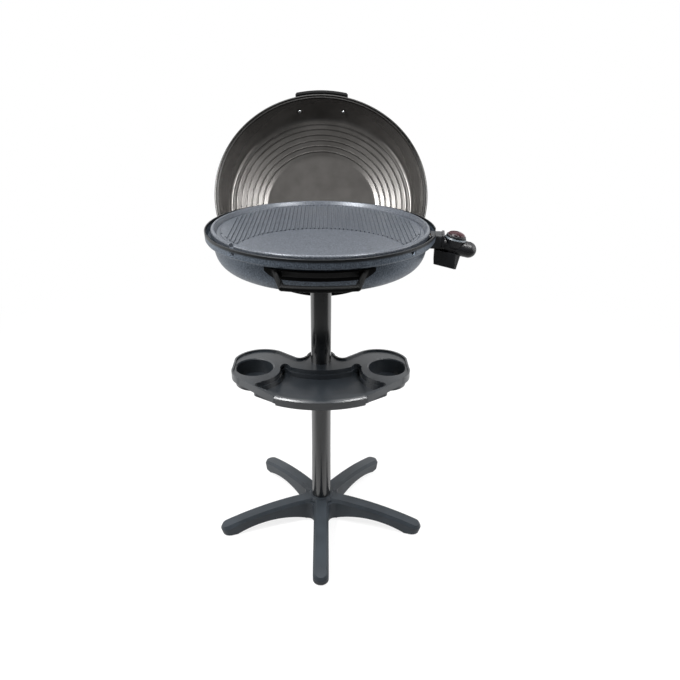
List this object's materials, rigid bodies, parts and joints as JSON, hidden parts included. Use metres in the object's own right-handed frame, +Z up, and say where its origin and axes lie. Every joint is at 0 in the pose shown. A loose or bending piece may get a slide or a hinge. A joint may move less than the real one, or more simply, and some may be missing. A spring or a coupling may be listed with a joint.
{
  "type": "electric stand grill",
  "caption": "Electric grill: round bowl with ribbed cooking plate, hinged domed lid, drip tray and plug-in thermostat control, on a column stand with a shelf and a star base.",
  "frame": {"origin": "on the floor, on the axis of the column", "axes": "+X to the user's right, where the control unit plugs in; +Y away from the user, towards the lid's hinges; +Z up"},
  "size_m": [0.6352, 0.7887, 1.078],
  "materials": {
    "base_plastic": "satin",
    "pad_rubber": "matte",
    "tube_paint": "satin",
    "plain_steel": "satin",
    "shelf_plastic": "satin",
    "fitting_plastic": "satin",
    "bowl_coat": "matte",
    "plate_coat": "satin",
    "reflector_sheet": "polished",
    "heater_sheath": "matte",
    "lid_coat": "satin",
    "handle_plastic": "satin",
    "tray_steel": "satin",
    "control_plastic": "satin",
    "contact_brass": "satin",
    "dial_grey": "satin",
    "dial_lens": "gloss"
  },
  "bodies": {
    "stand": {"star_base": "base_plastic", "foot_pads": "pad_rubber", "base_bolt": "plain_steel", "base_washer": "plain_steel", "tube_insert": "plain_steel", "lower_tube": "tube_paint", "tube_coupler": "plain_steel", "upper_tube": "tube_paint", "shelf": "shelf_plastic", "shelf_collar": "fitting_plastic", "collar_screw": "plain_steel", "column_socket": "fitting_plastic", "socket_screws": "plain_steel", "socket_lock_screw": "plain_steel", "bowl": "bowl_coat", "support_brackets": "plain_steel", "heat_reflector": "reflector_sheet", "tray_rails": "plain_steel", "grill_plate": "plate_coat", "heating_element": "heater_sheath", "element_clamps": "plain_steel", "clamp_screws": "plain_steel", "probe_sleeve": "plain_steel", "terminal_shroud": "fitting_plastic", "shroud_screws": "plain_steel", "front_handle": "handle_plastic", "handle_screws": "plain_steel", "hinge_bracket_left": "fitting_plastic", "hinge_bracket_right": "fitting_plastic", "bracket_screws": "plain_steel", "hinge_pins": "plain_steel"},
    "lid": {"lid_shell": "lid_coat", "lid_handle": "handle_plastic", "lid_handle_screws": "plain_steel", "hinge_arm_left": "fitting_plastic", "hinge_arm_right": "fitting_plastic", "arm_rivets": "plain_steel"},
    "drip_tray": {"drip_tray": "tray_steel"},
    "control_unit": {"control_housing": "control_plastic", "control_box": "control_plastic", "housing_screws": "plain_steel", "plug_contacts": "contact_brass", "thermostat_probe": "plain_steel", "cord_gland": "pad_rubber", "dial_ring": "dial_grey"},
    "knob": {"knob_spindle": "plain_steel", "dial_knob": "control_plastic", "dial_cap": "dial_lens"}
  },
  "joints": [
    {"name": "lid_hinge", "type": "hinge", "parent": "stand", "child": "lid", "pos_m": [0, 0.146, 0.751], "axis": [1, 0, 0], "range_deg": [0, 124]},
    {"name": "tray_slide", "type": "slide", "parent": "stand", "child": "drip_tray", "axis": [0, -1, 0], "range_m": [0, 0.12]},
    {"name": "control_slide", "type": "slide", "parent": "stand", "child": "control_unit", "axis": [0.9903, -0.1392, 0], "range_m": [0, 0.12]},
    {"name": "knob_turn", "type": "hinge", "parent": "control_unit", "child": "knob", "pos_m": [0.29936, -0.04207, 0.78086], "axis": [0.189, -0.0266, 0.9816], "range_deg": [-270, 0]}
  ]
}
